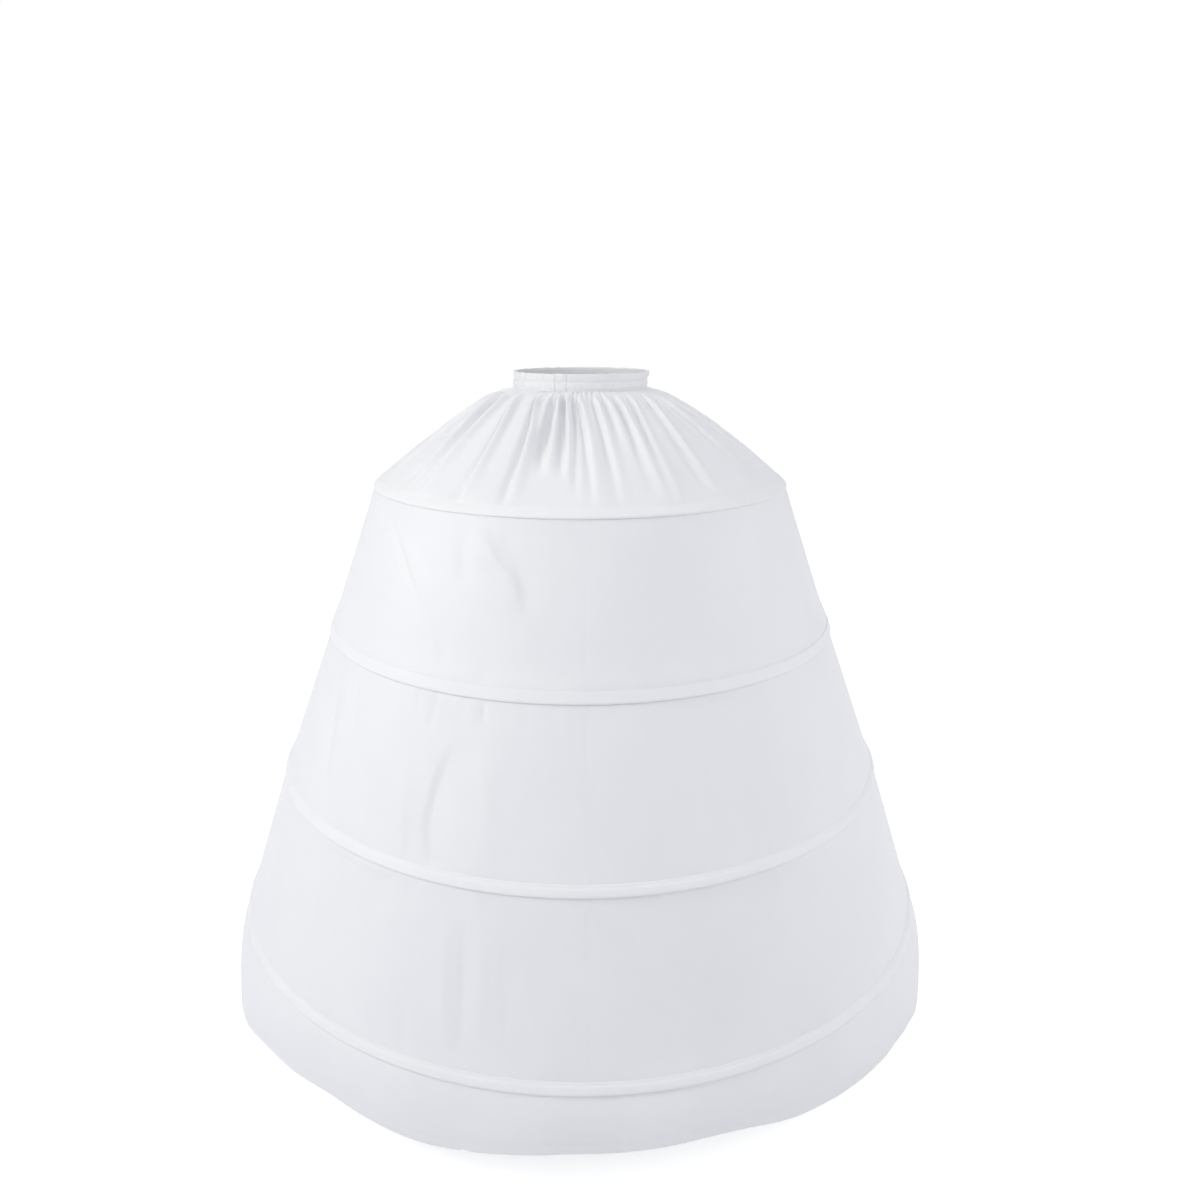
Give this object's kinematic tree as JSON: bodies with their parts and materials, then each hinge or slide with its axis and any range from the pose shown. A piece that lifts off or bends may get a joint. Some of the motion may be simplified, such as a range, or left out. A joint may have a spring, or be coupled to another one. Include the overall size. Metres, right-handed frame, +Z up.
{
  "type": "crinoline hoop petticoat",
  "caption": "White hoop petticoat: a gathered yoke on an elastic waistband, sprung hoops in sewn casings and a soft hem flounce, worn from the waist to hold out a gown.",
  "frame": {"origin": "centre of the waist opening, level with the top edge of the waistband", "axes": "+Z up along the wearer's body, -Y to the front of the wearer, +X to the wearer's left"},
  "size_m": [1.2392, 1.2257, 1.0425],
  "materials": {
    "skirt_cloth": "white taffeta, soft sheen",
    "casing_cloth": "white taffeta, folded and stitched",
    "band_cloth": "white taffeta, two rows of stitching",
    "elastic": "woven white elastic",
    "boning": "white plastic cover over spring steel",
    "joiner_metal": "crimped bright steel"
  },
  "bodies": {
    "root": {"yoke_left": "skirt_cloth", "yoke_right": "skirt_cloth", "second_tier_left": "skirt_cloth", "second_tier_right": "skirt_cloth", "third_tier_left": "skirt_cloth", "third_tier_right": "skirt_cloth", "fourth_tier_left": "skirt_cloth", "fourth_tier_right": "skirt_cloth", "hem_flounce_left": "skirt_cloth", "hem_flounce_right": "skirt_cloth", "hoop_casing_1": "casing_cloth", "hoop_casing_2": "casing_cloth", "hoop_casing_3": "casing_cloth", "hoop_casing_4": "casing_cloth", "waistband": "band_cloth", "waist_elastic": "elastic", "hoop_1": "boning", "hoop_2": "boning", "hoop_3": "boning", "hoop_4": "boning", "hoop_joiner_1": "joiner_metal", "hoop_joiner_2": "joiner_metal", "hoop_joiner_3": "joiner_metal", "hoop_joiner_4": "joiner_metal"}
  },
  "joints": []
}
